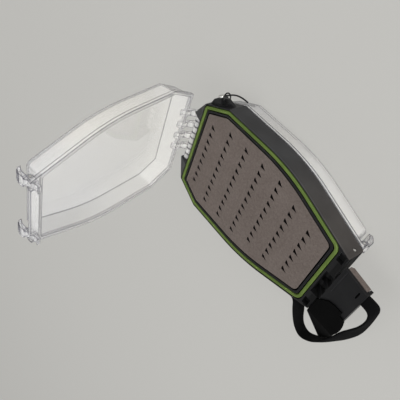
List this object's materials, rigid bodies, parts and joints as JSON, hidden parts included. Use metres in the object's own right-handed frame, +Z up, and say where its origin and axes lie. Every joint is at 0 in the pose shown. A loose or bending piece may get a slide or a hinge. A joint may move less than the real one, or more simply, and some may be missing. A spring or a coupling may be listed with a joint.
{
  "type": "double-sided fly box",
  "caption": "Flat six-sided case with slit foam on both faces, clear domed lids on a shared end hinge, lever latches, an end flap, a strap loop and a lanyard ring.",
  "frame": {"origin": "on the flat outer panel of the closed back lid, under the middle of the case's side walls, where the box rests", "axes": "+X from the lid hinge to the latch end, +Y across the case, +Z up out of the front face"},
  "size_m": [0.2133, 0.1159, 0.1843],
  "materials": {
    "body_plastic": "fine moulded texture, charcoal",
    "clear_plastic": "clear polished polycarbonate",
    "seal": "matt silicone, green",
    "foam": "closed-cell foam with slits, taupe",
    "steel": "bright",
    "webbing": "woven webbing, black",
    "tab": "smooth coated web with a stitched edge",
    "ring": "black, semi-gloss",
    "cord": "braided, black"
  },
  "bodies": {
    "case": {"case_frame": "body_plastic", "front_seal": "seal", "back_seal": "seal", "front_foam": "foam", "back_foam": "foam", "hinge_pin": "steel", "flap_pin": "steel", "strap": "webbing", "strap_screw": "steel", "lanyard_lug": "body_plastic", "lug_screw": "steel"},
    "front_lid": {"front_lid": "clear_plastic", "front_latch_pins": "steel"},
    "back_lid": {"back_lid": "clear_plastic", "back_latch_pins": "steel"},
    "front_latch_left": {"front_latch_left": "clear_plastic"},
    "front_latch_right": {"front_latch_right": "clear_plastic"},
    "back_latch_left": {"back_latch_left": "clear_plastic"},
    "back_latch_right": {"back_latch_right": "clear_plastic"},
    "end_flap": {"end_flap": "body_plastic", "flap_foam": "foam", "strap_pin": "steel", "strap_tab": "tab"},
    "lanyard_ring": {"lanyard_ring": "ring", "lanyard_tail": "cord"}
  },
  "joints": [
    {"name": "front_lid_hinge", "type": "hinge", "parent": "case", "child": "front_lid", "pos_m": [-0.0806, 0, 0.0255], "axis": [0, -1, 0], "range_deg": [-79, 31]},
    {"name": "back_lid_hinge", "type": "hinge", "parent": "case", "child": "back_lid", "pos_m": [-0.0806, 0, 0.0255], "axis": [0, 1, 0], "range_deg": [0, 110]},
    {"name": "front_latch_left_pivot", "type": "hinge", "parent": "front_lid", "child": "front_latch_left", "pos_m": [-0.06395, 0.026, 0.17874], "axis": [0, 1, 0], "range_deg": [-15, 0]},
    {"name": "front_latch_right_pivot", "type": "hinge", "parent": "front_lid", "child": "front_latch_right", "pos_m": [-0.06395, -0.026, 0.17874], "axis": [0, 1, 0], "range_deg": [-15, 0]},
    {"name": "back_latch_left_pivot", "type": "hinge", "parent": "back_lid", "child": "back_latch_left", "pos_m": [0.073, 0.026, 0.0126], "axis": [0, -1, 0], "range_deg": [0, 15]},
    {"name": "back_latch_right_pivot", "type": "hinge", "parent": "back_lid", "child": "back_latch_right", "pos_m": [0.073, -0.026, 0.0126], "axis": [0, -1, 0], "range_deg": [0, 15]},
    {"name": "end_flap_hinge", "type": "hinge", "parent": "case", "child": "end_flap", "pos_m": [0.0735, 0, 0.0243], "axis": [0, 1, 0], "range_deg": [0, 85], "deforming": ["strap", "strap_tab"]},
    {"name": "lanyard_ring_swing", "type": "hinge", "parent": "case", "child": "lanyard_ring", "pos_m": [-0.06105, 0.04929, 0.0255], "axis": [0.8982, 0.4396, 0], "range_deg": [0, 20]}
  ]
}
